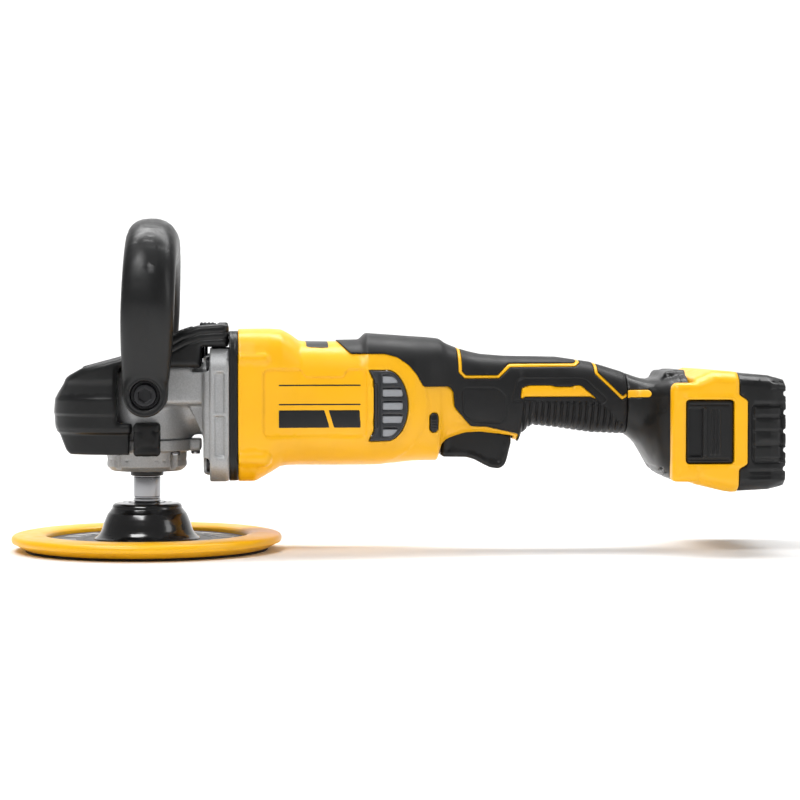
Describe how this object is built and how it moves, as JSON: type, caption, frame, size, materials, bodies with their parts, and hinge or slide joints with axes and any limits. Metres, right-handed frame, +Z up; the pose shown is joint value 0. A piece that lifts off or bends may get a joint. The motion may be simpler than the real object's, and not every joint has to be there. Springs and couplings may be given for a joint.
{
  "type": "cordless rotary polisher",
  "caption": "Cordless right-angle rotary polisher: backing pad on a geared spindle, bail handle over the head, in-line motor body, rear grip with paddle trigger, slide-on battery.",
  "frame": {"origin": "middle of the backing pad's working face, on the spindle axis", "axes": "+Z up the spindle, away from the work; +X from the spindle to the battery; -Y the left side of the tool"},
  "size_m": [0.496, 0.175, 0.2141],
  "materials": {
    "yellow_plastic": "satin moulded plastic",
    "black_rubber": "soft textured overmould",
    "black_plastic": "fine matte texture",
    "gloss_black": "gloss moulding",
    "grey_plastic": "matte moulding",
    "cast_aluminium": "fine blasted casting",
    "steel": "turned and ground",
    "dark_steel": "black oxide",
    "laminations": "stacked sheet",
    "copper": "bare wire and contacts",
    "cell_wrap": "shrink-wrapped cells",
    "pad_rubber": "smooth moulded polyurethane",
    "hook_fabric": "hook tape"
  },
  "bodies": {
    "tool_body": {"gear_case": "cast_aluminium", "spindle_collar": "cast_aluminium", "collar_screws": "steel", "flange_screws": "dark_steel", "head_cover": "black_rubber", "side_pads": "black_rubber", "side_pad_screws": "steel", "bearing_carrier": "black_plastic", "housing_left": "yellow_plastic", "housing_right": "yellow_plastic", "overmould_left": "black_rubber", "overmould_right": "black_rubber", "housing_screws": "steel", "vent_shield_left": "grey_plastic", "vent_shield_right": "grey_plastic", "vent_mesh_left": "steel", "vent_mesh_right": "steel", "battery_foot": "black_plastic", "foot_rails": "steel", "terminal_block": "grey_plastic", "switch_module": "black_plastic", "control_module": "black_plastic", "trigger_pin": "steel", "stator_core": "laminations", "stator_windings": "copper", "motor_rear_bracket": "black_plastic", "motor_front_bearing": "steel", "motor_rear_bearing": "steel", "counter_front_bearing": "steel", "counter_rear_bearing": "steel", "spindle_lower_bearing": "steel", "spindle_upper_bearing": "steel", "spindle_seal": "black_rubber", "bail_bolts": "dark_steel", "bail_washers": "steel"},
    "output": {"spindle": "steel", "bevel_gear": "steel", "pad_insert": "steel", "pad_hub": "gloss_black", "pad_plate": "black_plastic", "pad_rim": "pad_rubber", "pad_hook_face": "hook_fabric"},
    "countershaft": {"bevel_pinion": "steel", "intermediate_gear": "steel"},
    "rotor": {"motor_shaft": "steel", "rotor_core": "laminations", "cooling_fan": "grey_plastic"},
    "trigger_lever": {"trigger": "black_plastic"},
    "lock_on": {"lock_on_button": "black_plastic"},
    "dial": {"speed_dial": "black_plastic"},
    "spindle_lock": {"spindle_lock_button": "black_plastic", "spindle_lock_pin": "steel"},
    "bail": {"bail_handle": "black_plastic"},
    "battery": {"battery_cover": "yellow_plastic", "battery_case": "black_plastic", "battery_cells": "cell_wrap", "battery_screws": "dark_steel"},
    "release": {"battery_release": "black_plastic"}
  },
  "joints": [
    {"name": "spindle_spin", "type": "hinge", "parent": "tool_body", "child": "output", "pos_m": [0, 0, 0], "axis": [0, 0, 1], "continuous": true},
    {"name": "countershaft_spin", "type": "hinge", "parent": "tool_body", "child": "countershaft", "pos_m": [0.03, 0, 0.10875], "axis": [1, 0, 0], "continuous": true},
    {"name": "rotor_spin", "type": "hinge", "parent": "tool_body", "child": "rotor", "pos_m": [0.1, 0, 0.093], "axis": [1, 0, 0], "continuous": true},
    {"name": "trigger_pull", "type": "hinge", "parent": "tool_body", "child": "trigger_lever", "pos_m": [0.197, 0, 0.077], "axis": [0, -1, 0], "range_deg": [0, 8], "stiffness_Nm_per_rad": 3, "springref_deg": -6.88},
    {"name": "lock_on_press", "type": "slide", "parent": "tool_body", "child": "lock_on", "axis": [0, 1, 0], "range_m": [0, 0.003], "stiffness_N_per_m": 600, "springref_m": -0.002},
    {"name": "speed_dial_turn", "type": "hinge", "parent": "tool_body", "child": "dial", "pos_m": [0.161, 0, 0.1284], "axis": [0, 1, 0], "range_deg": [-135, 135]},
    {"name": "spindle_lock_press", "type": "slide", "parent": "tool_body", "child": "spindle_lock", "axis": [0, 0, -1], "range_m": [0, 0.004], "stiffness_N_per_m": 800, "springref_m": -0.003},
    {"name": "bail_tilt", "type": "hinge", "parent": "tool_body", "child": "bail", "pos_m": [0.001, 0, 0.102], "axis": [0, 1, 0], "range_deg": [-30, 30]},
    {"name": "battery_slide", "type": "slide", "parent": "tool_body", "child": "battery", "axis": [0, -1, 0], "range_m": [0, 0.075]},
    {"name": "release_press", "type": "slide", "parent": "battery", "child": "release", "axis": [0, 1, 0], "range_m": [0, 0.003], "stiffness_N_per_m": 800, "springref_m": -0.002}
  ],
  "couplings": [
    {"joint": "countershaft_spin", "follows": "spindle_spin", "ratio": 3.5556},
    {"joint": "rotor_spin", "follows": "spindle_spin", "ratio": -11.378}
  ]
}
